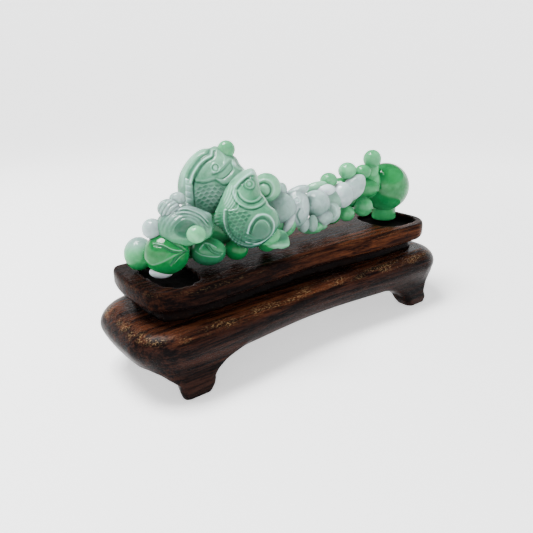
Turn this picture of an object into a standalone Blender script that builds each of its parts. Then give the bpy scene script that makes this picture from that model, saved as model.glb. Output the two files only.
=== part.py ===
"""Jade carving of two fish on a two-tier rosewood stand, one object for each separate piece.

Metres, +Z up. The origin is under the middle of the stand, on the surface it rests on.
+X runs along the stand, and the fish end of the carving is at -X. The front is -Y.
Shapes are written in millimetres and turned into metres where a mesh is made.
"""

import math

import bmesh
import bpy
import numpy as np

MM = 0.001

# Driving dimensions, in millimetres
STAND_LENGTH = 136.6
BOARD_TOP = 33.1
BOARD_THICKNESS = 6.4
NECK_HEIGHT = 4.2
APRON_BOTTOM = 9.9
JOINT_GAP = 0.3
SEAM_GAP = 0.3
TOP_SEAM_X = 20.9
BASE_SEAM_X = -19.5
NECK_INSET = 4.0
SOCKET_DEPTH = 2.0
DOWEL_DIAMETER = 3.0
DOWEL_PLACES_X = (-50.0, -30.0, 30.0, 50.0)
PLUG_DIAMETER = 2.2
PLUG_LENGTH = 7.0
PLUG_X = -37.5
PLUG_Z = 28.9
RING_POINTS = 80

BOARD_BOTTOM = BOARD_TOP - BOARD_THICKNESS
NECK_TOP = BOARD_BOTTOM - JOINT_GAP
NECK_BOTTOM = NECK_TOP - NECK_HEIGHT
BASE_TOP = NECK_BOTTOM - JOINT_GAP
SOCKET_FLOOR = BOARD_TOP - SOCKET_DEPTH

# Half of each outline, from the middle of the front round the right-hand end to the middle of
# the back: (distance from the middle along X, Y). The left-hand end has tighter front corners.
BOARD_FRONT = ((0.0, -13.5), (15.0, -13.9), (30.0, -15.2), (43.0, -16.4), (51.0, -16.3))
BOARD_RIGHT_END = ((58.6, -13.2), (61.4, -7.0), (62.4, 0.0), (62.1, 8.5), (59.6, 14.6))
BOARD_LEFT_END = ((57.0, -13.4), (59.6, -10.4), (61.0, 0.0), (60.3, 11.0), (58.0, 15.4))
BOARD_BACK = ((51.0, 16.5), (38.0, 16.2), (20.0, 15.4), (0.0, 15.0))
BASE_FRONT = ((0.0, -19.4), (15.0, -19.8), (30.0, -21.1), (43.0, -22.3), (51.0, -21.9))
BASE_END = ((62.2, -18.9), (66.4, -12.0), (68.3, 0.0), (67.6, 11.0), (63.0, 19.4))
BASE_BACK = ((52.0, 23.1), (38.0, 22.8), (20.0, 21.9), (0.0, 21.3))

# Each tier's edge from bottom to top: (height above the stand's underside, offset outwards)
BOARD_EDGE = (
    (BOARD_BOTTOM, -0.9),
    (BOARD_BOTTOM + 0.7, 0.1),
    (BOARD_BOTTOM + 2.0, 0.7),
    (BOARD_TOP - 2.4, 0.7),
    (BOARD_TOP - 0.5, 0.3),
    (BOARD_TOP, -0.1),
)
BASE_EDGE = (
    (APRON_BOTTOM, -3.4),
    (APRON_BOTTOM + 1.8, -2.0),
    (APRON_BOTTOM + 3.4, -1.0),
    (APRON_BOTTOM + 5.0, -0.3),
    (APRON_BOTTOM + 6.6, 0.0),
    (APRON_BOTTOM + 8.2, -0.4),
    (APRON_BOTTOM + 10.0, -2.2),
    (BASE_TOP, -6.8),
)
# A foot from its toe up into the base: (height, inner |X|, outer |X|, inner |Y|, outer |Y|)
FOOT_STEPS = (
    (0.0, 45.2, 55.0, 11.0, 19.2),
    (0.7, 44.7, 55.4, 10.6, 19.7),
    (2.6, 44.3, 55.6, 10.3, 20.0),
    (4.1, 44.7, 55.2, 10.3, 19.5),
    (4.9, 44.4, 55.0, 10.0, 18.3),
    (6.3, 41.8, 56.6, 8.5, 18.3),
    (8.2, 38.3, 58.8, 6.5, 18.6),
    (9.9, 35.0, 60.4, 4.6, 18.9),
    (12.5, 32.0, 60.8, 3.0, 19.0),
)
FOOT_ROUNDNESS = 4.5

# Sockets sunk in the board for the carving's own feet: (middle X, middle Y, half X, half Y)
LEFT_SOCKET = (-48.6, -0.6, 7.0, 12.6)
RIGHT_SOCKET = (49.8, -2.6, 10.4, 10.6)

# The carving's masses: (middle X, Y, Z), (half sizes along X, Y, Z)
CARVING_MASSES = {
    "upper_fish_body": ((-34.2, -3.5, 60.4), (9.6, 7.2, 10.4)),
    "upper_fish_head": ((-27.6, -3.2, 64.8), (5.4, 5.2, 5.4)),
    "top_bead": ((-27.7, -3.0, 70.2), (2.7, 2.7, 2.7)),
    "lower_fish": ((-22.6, -6.6, 48.8), (9.8, 7.0, 12.0)),
    "lower_fish_head": ((-20.4, -6.4, 58.2), (4.8, 4.6, 4.4)),
    "tail_fin": ((-10.5, -5.4, 40.0), (5.2, 2.8, 4.4)),
    "back_bead": ((-8.6, 1.6, 53.4), (4.7, 4.6, 4.7)),
    "rock_under_fish": ((-29.0, 1.5, 46.0), (15.0, 8.0, 9.0)),
    "back_leaf": ((-20.0, 5.0, 52.0), (14.0, 4.6, 9.0)),
    "scroll": ((-43.6, -3.2, 47.2), (8.2, 5.8, 7.6)),
    "scroll_curl": ((-46.9, -1.0, 52.4), (3.4, 3.2, 3.4)),
    "pale_sphere": ((-50.4, 1.2, 47.0), (3.6, 3.5, 3.6)),
    "small_bead": ((-42.4, -7.4, 45.6), (2.8, 2.6, 2.7)),
    "left_stub": ((-49.8, -1.2, 35.6), (4.9, 4.9, 4.1)),
    "bright_bead": ((-48.9, -1.6, 39.8), (6.8, 6.2, 6.2)),
    "pale_bead": ((-53.0, 6.4, 38.7), (4.9, 4.9, 5.0)),
    "bud_bead": ((-35.4, -4.3, 38.2), (5.3, 4.8, 4.5)),
    "dark_bead": ((-26.6, -5.2, 37.2), (3.7, 3.6, 3.6)),
    "under_tail_bead": ((-13.1, -4.4, 36.6), (3.0, 3.0, 2.9)),
    "waist": ((-4.6, 0.6, 45.6), (8.4, 5.8, 6.2)),
    "leafy_lump": ((3.8, 0.2, 44.6), (8.0, 6.2, 7.2)),
    "lavender_sphere": ((12.2, -0.6, 44.4), (6.2, 5.8, 6.0)),
    "white_cap": ((17.2, 0.6, 48.8), (5.2, 4.6, 3.4)),
    "front_coin": ((13.2, -3.0, 39.8), (4.0, 2.6, 3.4)),
    "low_petals": ((8.2, -1.6, 38.0), (4.6, 3.0, 3.2)),
    "white_egg": ((25.6, -0.8, 46.6), (4.8, 4.4, 4.8)),
    "bud": ((30.6, -1.0, 46.2), (7.0, 3.4, 4.0)),
    "low_green_bead": ((28.9, 0.2, 39.6), (3.5, 3.3, 3.4)),
    "round_green_bead": ((38.2, 0.2, 40.7), (4.0, 3.8, 3.9)),
    "right_link": ((34.0, 2.4, 47.2), (13.5, 5.0, 6.6)),
    "back_bead_1": ((20.9, 2.6, 51.8), (3.4, 3.2, 3.2)),
    "back_bead_2": ((30.4, 2.4, 54.0), (3.8, 3.4, 3.6)),
    "back_bead_3": ((37.4, 1.4, 53.4), (3.4, 3.0, 3.2)),
    "upright_bead": ((42.6, 0.2, 56.4), (3.5, 3.4, 4.9)),
    "big_sphere": ((54.4, 1.6, 45.2), (9.0, 9.0, 9.0)),
    "pedestal": ((53.4, 1.6, 36.2), (6.5, 6.3, 4.7)),
}
FINE_VOXEL = 1.1
CARVING_KEPT_SHARE = 0.20

JADE = ((0.42, 0.68, 0.52), 0.12)
ROSEWOOD = ((0.075, 0.032, 0.022), 0.22)
DARK_WOOD = ((0.03, 0.016, 0.013), 0.35)
BAMBOO = ((0.42, 0.29, 0.14), 0.55)


def clear_scene():
    for found in list(bpy.data.objects):
        bpy.data.objects.remove(found, do_unlink=True)


def finish_material(name, colour_and_roughness):
    colour, roughness = colour_and_roughness
    material = bpy.data.materials.new(name)
    material.use_nodes = True
    shader = material.node_tree.nodes["Principled BSDF"]
    shader.inputs["Base Color"].default_value = (*colour, 1.0)
    shader.inputs["Roughness"].default_value = roughness
    shader.inputs["Metallic"].default_value = 0.0
    return material


def closed_outline(front, right_end, left_end, back, count):
    """A smooth closed outline, counter-clockwise from above, resampled evenly along its length."""
    right = [*front, *right_end, *back]
    left = [(-x, y) for x, y in (*front[1:], *left_end, *back[:-1])]
    corners = np.array(right + left[::-1])
    steps = np.linspace(0.0, 1.0, 12, endpoint=False)[:, None]
    before, after = np.roll(corners, 1, axis=0), np.roll(corners, -1, axis=0)
    after_next = np.roll(corners, -2, axis=0)
    pieces = [
        0.5 * (
            2 * p1
            + (p2 - p0) * steps
            + (2 * p0 - 5 * p1 + 4 * p2 - p3) * steps**2
            + (3 * p1 - p0 - 3 * p2 + p3) * steps**3
        )
        for p0, p1, p2, p3 in zip(before, corners, after, after_next)
    ]
    dense = np.concatenate(pieces)
    loop = np.vstack([dense, dense[:1]])
    travelled = np.concatenate([[0.0], np.cumsum(np.hypot(*np.diff(loop, axis=0).T))])
    wanted = np.linspace(0.0, travelled[-1], count, endpoint=False)
    return np.column_stack([np.interp(wanted, travelled, loop[:, axis]) for axis in (0, 1)])


def offset_outline(outline, distance):
    """Moves each point along the outline's outward normal."""
    along = np.roll(outline, -1, axis=0) - np.roll(outline, 1, axis=0)
    along /= np.linalg.norm(along, axis=1, keepdims=True)
    return outline + distance * np.column_stack([along[:, 1], -along[:, 0]])


def rounded_box_outline(low_x, high_x, low_y, high_y, power, count):
    """A superellipse between two X and two Y values: a box with rounded corners."""
    angle = np.linspace(0.0, 2 * math.pi, count, endpoint=False)
    cosine, sine = np.cos(angle), np.sin(angle)
    x = np.sign(cosine) * np.abs(cosine) ** (2 / power)
    y = np.sign(sine) * np.abs(sine) ** (2 / power)
    return np.column_stack([
        (low_x + high_x) / 2 + x * (high_x - low_x) / 2,
        (low_y + high_y) / 2 + y * (high_y - low_y) / 2,
    ])


def lofted(name, rings, material=None):
    """A closed solid through rings of equal length, each (outline, height), lowest first."""
    mesh = bpy.data.meshes.new(name)
    shape = bmesh.new()
    levels = [
        [shape.verts.new((x * MM, y * MM, height * MM)) for x, y in outline]
        for outline, height in rings
    ]
    count = len(levels[0])
    shape.faces.new(levels[0][::-1])
    shape.faces.new(levels[-1])
    for lower, upper in zip(levels, levels[1:]):
        for i in range(count):
            j = (i + 1) % count
            shape.faces.new((lower[i], lower[j], upper[j], upper[i]))
    bmesh.ops.triangulate(shape, faces=[f for f in shape.faces if len(f.verts) > 4])
    shape.to_mesh(mesh)
    shape.free()
    mesh.shade_smooth()
    mesh.set_sharp_from_angle(angle=math.radians(40))
    made = bpy.data.objects.new(name, mesh)
    bpy.context.scene.collection.objects.link(made)
    if material:
        mesh.materials.append(material)
    return made


def cut_across(made, plane_x, keep_left):
    """Cuts an object's mesh off at a plane of constant X and closes the cut."""
    shape = bmesh.new()
    shape.from_mesh(made.data)
    cut = bmesh.ops.bisect_plane(
        shape,
        geom=[*shape.verts, *shape.edges, *shape.faces],
        plane_co=(plane_x * MM, 0.0, 0.0),
        plane_no=(1.0, 0.0, 0.0),
        clear_outer=keep_left,
        clear_inner=not keep_left,
    )
    rim = [part for part in cut["geom_cut"] if isinstance(part, bmesh.types.BMEdge)]
    bmesh.ops.contextual_create(shape, geom=rim)
    bmesh.ops.triangulate(shape, faces=[f for f in shape.faces if len(f.verts) > 4])
    bmesh.ops.recalc_face_normals(shape, faces=shape.faces)
    shape.to_mesh(made.data)
    shape.free()


def round_pin(name, diameter, low, high, place, along="Z", material=None):
    """A closed round bar between two distances along Z or Y, through the other two places."""
    shape = bmesh.new()
    bmesh.ops.create_cone(
        shape,
        cap_ends=True,
        segments=16,
        radius1=diameter / 2 * MM,
        radius2=diameter / 2 * MM,
        depth=(high - low) * MM,
    )
    mesh = bpy.data.meshes.new(name)
    shape.to_mesh(mesh)
    shape.free()
    mesh.shade_smooth()
    mesh.set_sharp_from_angle(angle=math.radians(40))
    made = bpy.data.objects.new(name, mesh)
    bpy.context.scene.collection.objects.link(made)
    middle = (low + high) / 2 * MM
    if along == "Z":
        made.location = (place[0] * MM, place[1] * MM, middle)
    else:
        made.location = (place[0] * MM, middle, place[1] * MM)
        made.rotation_euler = (math.pi / 2, 0.0, 0.0)
    if material:
        mesh.materials.append(material)
    return made


def as_helper(made):
    made.hide_render = True
    made.display_type = "WIRE"
    return made


def combine(made, other, operation):
    step = made.modifiers.new(f"{operation.lower()}_{other.name}", "BOOLEAN")
    step.operation = operation
    step.solver = "EXACT"
    step.object = as_helper(other)


def foot(name, side_x, side_y):
    """A square toe, waisted above it, that spreads into the underside of the base."""
    rings = []
    for height, inner_x, outer_x, inner_y, outer_y in FOOT_STEPS:
        xs = sorted((side_x * inner_x, side_x * outer_x))
        ys = sorted((side_y * inner_y, side_y * outer_y))
        rings.append((rounded_box_outline(*xs, *ys, FOOT_ROUNDNESS, 24), height))
    return lofted(name, rings)


def socket_cutter(name, socket):
    middle_x, middle_y, half_x, half_y = socket
    sides = (middle_x - half_x, middle_x + half_x, middle_y - half_y, middle_y + half_y)
    outline = rounded_box_outline(*sides, 2.6, 32)
    return lofted(name, [(outline, SOCKET_FLOOR), (outline, BOARD_TOP + 1.0)])


def drill_dowel_holes(made, low, high, places):
    for place in places:
        name = f"hole_for_{made.name}_{DOWEL_PLACES_X.index(place) + 1}"
        size = DOWEL_DIAMETER + 2 * JOINT_GAP
        combine(made, round_pin(name, size, low, high, (place, 0.0)), "DIFFERENCE")


def make_top_board(wood, plug_wood):
    outline = closed_outline(
        BOARD_FRONT, BOARD_RIGHT_END, BOARD_LEFT_END, BOARD_BACK, RING_POINTS
    )
    rings = [(offset_outline(outline, out), height) for height, out in BOARD_EDGE]
    blind_end = BOARD_TOP - 2.9
    front_y = float(np.interp(-PLUG_X, [x for x, y in BOARD_FRONT], [y for x, y in BOARD_FRONT]))
    plug_span = (front_y - 0.7, front_y + PLUG_LENGTH)
    sections = (
        ("top_board_long", TOP_SEAM_X - SEAM_GAP / 2, True, LEFT_SOCKET),
        ("top_board_short", TOP_SEAM_X + SEAM_GAP / 2, False, RIGHT_SOCKET),
    )
    for name, seam_x, keep_left, socket in sections:
        section = lofted(name, rings, wood)
        cut_across(section, seam_x, keep_left)
        combine(section, socket_cutter(f"socket_in_{name}", socket), "DIFFERENCE")
        places = [x for x in DOWEL_PLACES_X if (x < seam_x) == keep_left]
        drill_dowel_holes(section, BOARD_BOTTOM - 1.0, blind_end, places)
        if keep_left:
            hole_span = (plug_span[0] - 2.0, plug_span[1] + JOINT_GAP)
            hole_size = PLUG_DIAMETER + 2 * JOINT_GAP
            hole = round_pin("hole_for_plug", hole_size, *hole_span, (PLUG_X, PLUG_Z), "Y")
            combine(section, hole, "DIFFERENCE")
    round_pin("edge_plug", PLUG_DIAMETER, *plug_span, (PLUG_X, PLUG_Z), "Y", plug_wood)
    return outline


def make_neck(board_outline, wood):
    outline = offset_outline(board_outline, -NECK_INSET)
    neck = lofted("neck_board", [(outline, NECK_BOTTOM), (outline, NECK_TOP)], wood)
    drill_dowel_holes(neck, NECK_BOTTOM - 1.0, NECK_TOP + 1.0, DOWEL_PLACES_X)


def make_base(wood):
    outline = closed_outline(BASE_FRONT, BASE_END, BASE_END, BASE_BACK, RING_POINTS)
    scale = STAND_LENGTH / np.ptp(outline[:, 0])
    outline[:, 0] *= scale
    rings = [(offset_outline(outline, out), height) for height, out in BASE_EDGE]
    sections = (
        ("base_short_section", BASE_SEAM_X - SEAM_GAP / 2, True, -1),
        ("base_long_section", BASE_SEAM_X + SEAM_GAP / 2, False, 1),
    )
    for name, seam_x, keep_left, side_x in sections:
        section = lofted(name, rings, wood)
        cut_across(section, seam_x, keep_left)
        for end, side_y in (("front", -1), ("back", 1)):
            combine(section, foot(f"{end}_foot_of_{name}", side_x, side_y), "UNION")
        places = [x for x in DOWEL_PLACES_X if (x < seam_x) == keep_left]
        drill_dowel_holes(section, BASE_TOP - 7.0, BASE_TOP + 1.0, places)


def make_dowels(wood):
    low, high = BASE_TOP - 7.0 + JOINT_GAP, BOARD_TOP - 2.9 - JOINT_GAP
    for number, place in enumerate(DOWEL_PLACES_X, 1):
        round_pin(f"dowel_{number}", DOWEL_DIAMETER, low, high, (place, 0.0), "Z", wood)


def make_carving(stone):
    """One stone: the masses run into each other, so they are remeshed into a single skin."""
    shape = bmesh.new()
    for middle, half in CARVING_MASSES.values():
        made = bmesh.ops.create_icosphere(shape, subdivisions=3, radius=1.0)
        bmesh.ops.scale(shape, vec=[size * MM for size in half], verts=made["verts"])
        bmesh.ops.translate(shape, vec=[place * MM for place in middle], verts=made["verts"])
    mesh = bpy.data.meshes.new("jade_carving")
    shape.to_mesh(mesh)
    shape.free()
    mesh.materials.append(stone)
    carving = bpy.data.objects.new("jade_carving", mesh)
    bpy.context.scene.collection.objects.link(carving)
    skin = carving.modifiers.new("one_skin", "REMESH")
    skin.mode = "VOXEL"
    skin.voxel_size = FINE_VOXEL * MM
    skin.use_smooth_shade = True
    lighter = carving.modifiers.new("fewer_faces", "DECIMATE")
    lighter.ratio = CARVING_KEPT_SHARE


clear_scene()
rosewood = finish_material("rosewood", ROSEWOOD)
dark_wood = finish_material("dark_rosewood", DARK_WOOD)
board_outline = make_top_board(rosewood, finish_material("plug_rosewood", DARK_WOOD))
make_neck(board_outline, dark_wood)
make_base(finish_material("base_rosewood", ROSEWOOD))
make_dowels(finish_material("bamboo", BAMBOO))
make_carving(finish_material("jade", JADE))
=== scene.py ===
import math

import bmesh
import bpy
import numpy as np
from mathutils import Matrix, Vector


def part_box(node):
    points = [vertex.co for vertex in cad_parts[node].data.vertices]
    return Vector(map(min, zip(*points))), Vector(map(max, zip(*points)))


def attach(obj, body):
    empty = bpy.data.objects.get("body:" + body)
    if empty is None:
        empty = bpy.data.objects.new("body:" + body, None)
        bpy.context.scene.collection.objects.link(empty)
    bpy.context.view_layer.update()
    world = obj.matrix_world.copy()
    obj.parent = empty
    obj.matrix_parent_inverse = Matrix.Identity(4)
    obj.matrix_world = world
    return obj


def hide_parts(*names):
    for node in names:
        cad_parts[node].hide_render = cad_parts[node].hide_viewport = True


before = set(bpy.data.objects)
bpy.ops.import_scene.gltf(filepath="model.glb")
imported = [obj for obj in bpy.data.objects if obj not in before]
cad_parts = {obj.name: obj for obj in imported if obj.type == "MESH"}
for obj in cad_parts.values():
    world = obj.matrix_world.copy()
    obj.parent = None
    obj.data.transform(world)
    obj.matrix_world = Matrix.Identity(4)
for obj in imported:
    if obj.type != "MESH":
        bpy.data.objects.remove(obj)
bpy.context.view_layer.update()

MM = 0.001


# ---------------------------------------------------------------------------
# Camera, floor and light
# A pale dish takes the place of a table and walls, so no horizon shows from any side.
# One square softbox hangs overhead and a weak wide one stands behind the viewer.

view_azimuth, view_elevation, view_roll = math.radians(-37.15), math.radians(21.16), math.radians(-1.03)
view_target, view_distance = Vector((0.0, 0.0147, 0.0166)), 0.2022
view_back = Vector((
    math.sin(view_azimuth) * math.cos(view_elevation),
    -math.cos(view_azimuth) * math.cos(view_elevation),
    math.sin(view_elevation),
))
level_right = Vector((math.cos(view_azimuth), math.sin(view_azimuth), 0.0))
level_up = view_back.cross(level_right)
view_right = math.cos(view_roll) * level_right + math.sin(view_roll) * level_up
view_up = view_back.cross(view_right)

lens = bpy.data.cameras.new("view")
lens.sensor_width, lens.lens = 36.0, 34.78
lens.shift_x, lens.shift_y = 0.0035, 0.0111
lens.clip_start, lens.clip_end = 0.01, 20.0
viewer = bpy.data.objects.new("view", lens)
turn = Matrix((view_right, view_up, view_back)).transposed()
viewer.matrix_world = Matrix.Translation(view_target + view_back * view_distance) @ turn.to_4x4()
bpy.context.scene.collection.objects.link(viewer)
bpy.context.scene.camera = viewer


class Wire:
    """A shader value that can be used in a sum: each operator adds one Math node."""

    def __init__(self, recipe, socket):
        self.recipe = recipe
        self.socket = socket

    def math(self, operation, *values):
        """A Math node on this value and the others given."""
        places = dict(enumerate((self, *values)))
        return self.recipe.node("ShaderNodeMath", {"operation": operation}, places)

    def __add__(self, other):
        return self.math("ADD", other)

    __radd__ = __add__

    def __sub__(self, other):
        return self.math("SUBTRACT", other)

    def __rsub__(self, other):
        return self.recipe.node("ShaderNodeMath", {"operation": "SUBTRACT"}, {0: other, 1: self})

    def __mul__(self, other):
        return self.math("MULTIPLY", other)

    __rmul__ = __mul__

    def between(self, low, high):
        """0 below low, 1 above high, and a smooth step from one to the other."""
        settings = {"interpolation_type": "SMOOTHSTEP"}
        places = {"Value": self, "From Min": low, "From Max": high}
        return self.recipe.node("ShaderNodeMapRange", settings, places)


class Recipe:
    """A finish: a material whose nodes all come from node(), and whose shader is a Principled one."""

    def __init__(self, name, **shader_values):
        self.material = bpy.data.materials.new(name)
        self.material.use_nodes = True
        self.tree = self.material.node_tree
        self.shader = self.tree.nodes["Principled BSDF"]
        for socket, value in shader_values.items():
            self.feed(self.shader, socket.replace("_", " "), value)

    def feed(self, node, socket, value):
        """Links a wire to a node's socket, or sets the socket to a plain value or colour."""
        if isinstance(value, Wire):
            self.tree.links.new(value.socket, node.inputs[socket])
        elif isinstance(value, tuple) and len(value) == 3 and node.inputs[socket].type == "RGBA":
            node.inputs[socket].default_value = (*value, 1.0)
        else:
            node.inputs[socket].default_value = value

    def node(self, kind, settings=None, sockets=None, output=0):
        """Adds a node: its settings first, then the values or wires of its sockets."""
        made = self.tree.nodes.new(kind)
        for name, value in (settings or {}).items():
            setattr(made, name, value)
        for socket, value in (sockets or {}).items():
            self.feed(made, socket, value)
        return Wire(self, made.outputs[output])

    def place(self, *millimetres):
        """Object coordinates divided by a pattern's size along X, Y and Z in millimetres."""
        where = self.node("ShaderNodeTexCoord", output="Object")
        share = tuple(1000.0 / size for size in millimetres)
        return self.node("ShaderNodeVectorMath", {"operation": "MULTIPLY"}, {0: where, 1: share})

    def axis(self, name):
        """The place along one axis, in millimetres."""
        return self.node("ShaderNodeSeparateXYZ", None, {0: self.place(1.0, 1.0, 1.0)}, name)

    def noise(self, place, detail=2.0, roughness=0.5, distortion=0.0):
        """Cloudy noise at a place that already holds its size."""
        sockets = {"Vector": place, "Scale": 1.0, "Detail": detail}
        sockets |= {"Roughness": roughness, "Distortion": distortion}
        return self.node("ShaderNodeTexNoise", None, sockets)

    def blend(self, share, first, second):
        """The first colour where share is 0, the second where it is 1."""
        sockets = {0: share, 6: first, 7: second}
        return self.node("ShaderNodeMix", {"data_type": "RGBA"}, sockets, 2)

    def bump(self, height, depth):
        """Tilts the surface as a relief of this many metres would."""
        sockets = {"Height": height, "Distance": depth, "Strength": 1.0}
        self.feed(self.shader, "Normal", self.node("ShaderNodeBump", None, sockets))


def mesh_piece(name, points, faces, finish):
    """A mesh object from arrays: points in millimetres, and faces of four corners each."""
    mesh = bpy.data.meshes.new(name)
    mesh.vertices.add(len(points))
    mesh.vertices.foreach_set("co", (np.asarray(points) * MM).astype(np.float32).ravel())
    mesh.loops.add(faces.size)
    mesh.loops.foreach_set("vertex_index", faces.astype(np.int32).ravel())
    mesh.polygons.add(len(faces))
    mesh.polygons.foreach_set("loop_start", np.arange(0, faces.size, 4, dtype=np.int32))
    mesh.update(calc_edges=True)
    mesh.validate()
    mesh.shade_smooth()
    mesh.materials.append(finish)
    made = bpy.data.objects.new(name, mesh)
    bpy.context.scene.collection.objects.link(made)
    return made


def dish(radius, curve, steps=96):
    """A flat round floor whose rim turns up in a quarter circle of radius curve, carried round +Z."""
    across = np.concatenate([np.linspace(0.0, radius, 24), np.full(24, radius)])
    rise = np.zeros(48)
    bend = np.linspace(0.0, math.pi / 2, 24)
    across[24:] = radius + curve * np.sin(bend)
    rise[24:] = curve * (1 - np.cos(bend))
    angle = np.linspace(0.0, 2 * math.pi, steps, endpoint=False)
    points = np.stack([
        across[:, None] * np.cos(angle),
        across[:, None] * np.sin(angle),
        np.repeat(rise[:, None], steps, axis=1),
    ], axis=-1)
    row, column = np.meshgrid(np.arange(47), np.arange(steps), indexing="ij")
    after = (column + 1) % steps
    faces = np.stack([row, row + 1, row + 1, row], -1) * steps + np.stack([column, column, after, after], -1)
    return points.reshape(-1, 3), faces.reshape(-1, 4)


pale = Recipe("pale_floor", Base_Color=(0.88, 0.88, 0.88), Roughness=0.95)
from_middle = pale.node("ShaderNodeVectorMath", {"operation": "LENGTH"}, {0: pale.place(1.0, 1.0, 1.0)}, 1)
pale.feed(pale.shader, "Emission Strength", 1.9)
glow = from_middle.between(40.0, 420.0)
pale.feed(pale.shader, "Emission Color", pale.blend(glow, (0.42, 0.42, 0.42), (1.0, 1.0, 1.0)))
floor = mesh_piece("pale_floor", *dish(900.0, 700.0), pale.material)

world = bpy.data.worlds.new("studio")
world.use_nodes = True
world.node_tree.nodes["Background"].inputs["Color"].default_value = (0.95, 0.97, 1.0, 1.0)
world.node_tree.nodes["Background"].inputs["Strength"].default_value = 0.35
bpy.context.scene.world = world


def softbox(name, place, size, power):
    """A square area light that faces the middle of the carving."""
    light = bpy.data.lights.new(name, "AREA")
    light.shape, light.size, light.energy = "SQUARE", size, power
    holder = bpy.data.objects.new(name, light)
    holder.location = place
    away = Vector(place) - Vector((0.0, 0.0, 0.045))
    holder.rotation_euler = away.to_track_quat("Z", "Y").to_euler()
    bpy.context.scene.collection.objects.link(holder)


softbox("overhead_softbox", (-0.13, 0.08, 0.44), 0.20, 6.0)
softbox("front_softbox", (-0.55, -0.45, 0.35), 0.5, 0.9)


# ---------------------------------------------------------------------------
# Rosewood stand: base
# The lower tier is cut from thick rosewood in two lengths that are glued end to end. Its edge
# swells like a cushion, and a short square-toed foot grows out of it at each corner.

board_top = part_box("top_board_long")[1].z / MM
board_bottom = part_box("top_board_long")[0].z / MM
base_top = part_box("base_long_section")[1].z / MM
base_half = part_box("base_long_section")[1].x / MM
neck_low, neck_high = (corner.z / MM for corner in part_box("neck_board"))
base_seam = (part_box("base_short_section")[1].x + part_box("base_long_section")[0].x) / 2 / MM
top_seam = (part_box("top_board_long")[1].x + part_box("top_board_short")[0].x) / 2 / MM
apron_bottom, base_ridge, seam_width = 9.9, 16.5, 0.08


def skin_of(field, low, high, step):
    """Points and quads of the surface where field(x, y, z) is nought, in millimetres.

    A point sits in each cell of a grid that the surface passes through, and the four cells
    round each crossed grid edge share a quad. The points are then evened out and slid along
    the field's slope until they lie on the surface.
    """
    low, high = np.array(low, float), np.array(high, float)
    counts = np.ceil((high - low) / step).astype(int) + 1
    nodes = np.meshgrid(*(low[k] + step * np.arange(counts[k]) for k in range(3)), indexing="ij")
    inside = field(*nodes) < 0
    corners = [
        inside[i:counts[0] - 1 + i, j:counts[1] - 1 + j, k:counts[2] - 1 + k]
        for i in (0, 1) for j in (0, 1) for k in (0, 1)
    ]
    filled = np.sum(corners, axis=0)
    crossed = (filled > 0) & (filled < 8)
    number = np.full(crossed.shape, -1)
    number[crossed] = np.arange(crossed.sum())
    points = low + step * (np.argwhere(crossed) + 0.5)
    quads = []
    for axis in range(3):
        beside, above = (np.eye(3, dtype=int)[(axis + turn) % 3] for turn in (1, 2))
        here = np.argwhere(np.diff(inside.astype(np.int8), axis=axis) != 0)
        here = here[(here[:, (axis + 1) % 3] > 0) & (here[:, (axis + 2) % 3] > 0)]
        here = here[np.all(here + beside < counts, axis=1) & np.all(here + above < counts, axis=1)]
        cells = [here - beside - above, here - above, here, here - beside]
        limit = np.array(crossed.shape) - 1
        ring = np.stack([number[tuple(np.minimum(cell, limit).T)] for cell in cells], axis=1)
        leaving = inside[tuple(here.T)]
        quads.append(np.where(leaving[:, None], ring, ring[:, ::-1]))
    quads = np.concatenate(quads)
    quads = quads[(quads >= 0).all(axis=1)]
    for _ in range(2):
        total, share = np.zeros_like(points), np.zeros(len(points))
        for here, there in ((0, 1), (1, 2), (2, 3), (3, 0)):
            for a, b in ((here, there), (there, here)):
                np.add.at(total, quads[:, a], points[quads[:, b]])
                np.add.at(share, quads[:, a], 1.0)
        points = 0.5 * points + 0.5 * total / share[:, None]
    nudge = 0.02
    for _ in range(6):
        value = field(*points.T)
        slope = np.stack([
            field(*(points + nudge * np.eye(3)[k]).T) - field(*(points - nudge * np.eye(3)[k]).T)
            for k in range(3)
        ], axis=-1) / (2 * nudge)
        move = value / np.maximum((slope**2).sum(axis=1), 0.25)
        points = points - np.clip(move, -step, step)[:, None] * slope
    return points, quads


def smoother(low, high, value):
    """0 up to low and 1 from high on, with a smooth S between them."""
    share = np.clip((value - low) / (high - low), 0.0, 1.0)
    return share * share * (3 - 2 * share)


def both(first, second, round_off):
    """Inside both fields, with the edge between them rounded off by this much."""
    near = np.maximum(round_off - np.abs(first - second), 0.0) / round_off
    return np.maximum(first, second) + near**2 * round_off / 4


def either(first, second, fillet):
    """Inside either field, with the corner between them filled."""
    return -both(-first, -second, fillet)


def outline(x, y, half_length, front, back, corner):
    """How far (x, y) lies outside a long box with round corners, whose half length and whose
    front and back depths may themselves change along it."""
    middle, half = (back - front) / 2, (back + front) / 2
    past_end = np.abs(x) - half_length + corner
    past_side = np.abs(y - middle) - half + corner
    outside = np.hypot(np.maximum(past_end, 0), np.maximum(past_side, 0))
    return outside + np.minimum(np.maximum(past_end, past_side), 0) - corner


def lobe(x, reach):
    """0 at the middle of the stand, rising to 1 at the distance reach, where the front swells."""
    return np.sin(math.pi / 2 * np.minimum(np.abs(x) / reach, 1.0)) ** 2


def base_outline(x, y):
    """The base seen from above: its ends bow out a little and its front and back swell."""
    half_length = base_half - 2.3 * (y / 20) ** 2
    return outline(x, y, half_length, 19.4 + 2.9 * lobe(x, 47), 21.3 + 1.6 * lobe(x, 47), 13.0)


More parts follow.
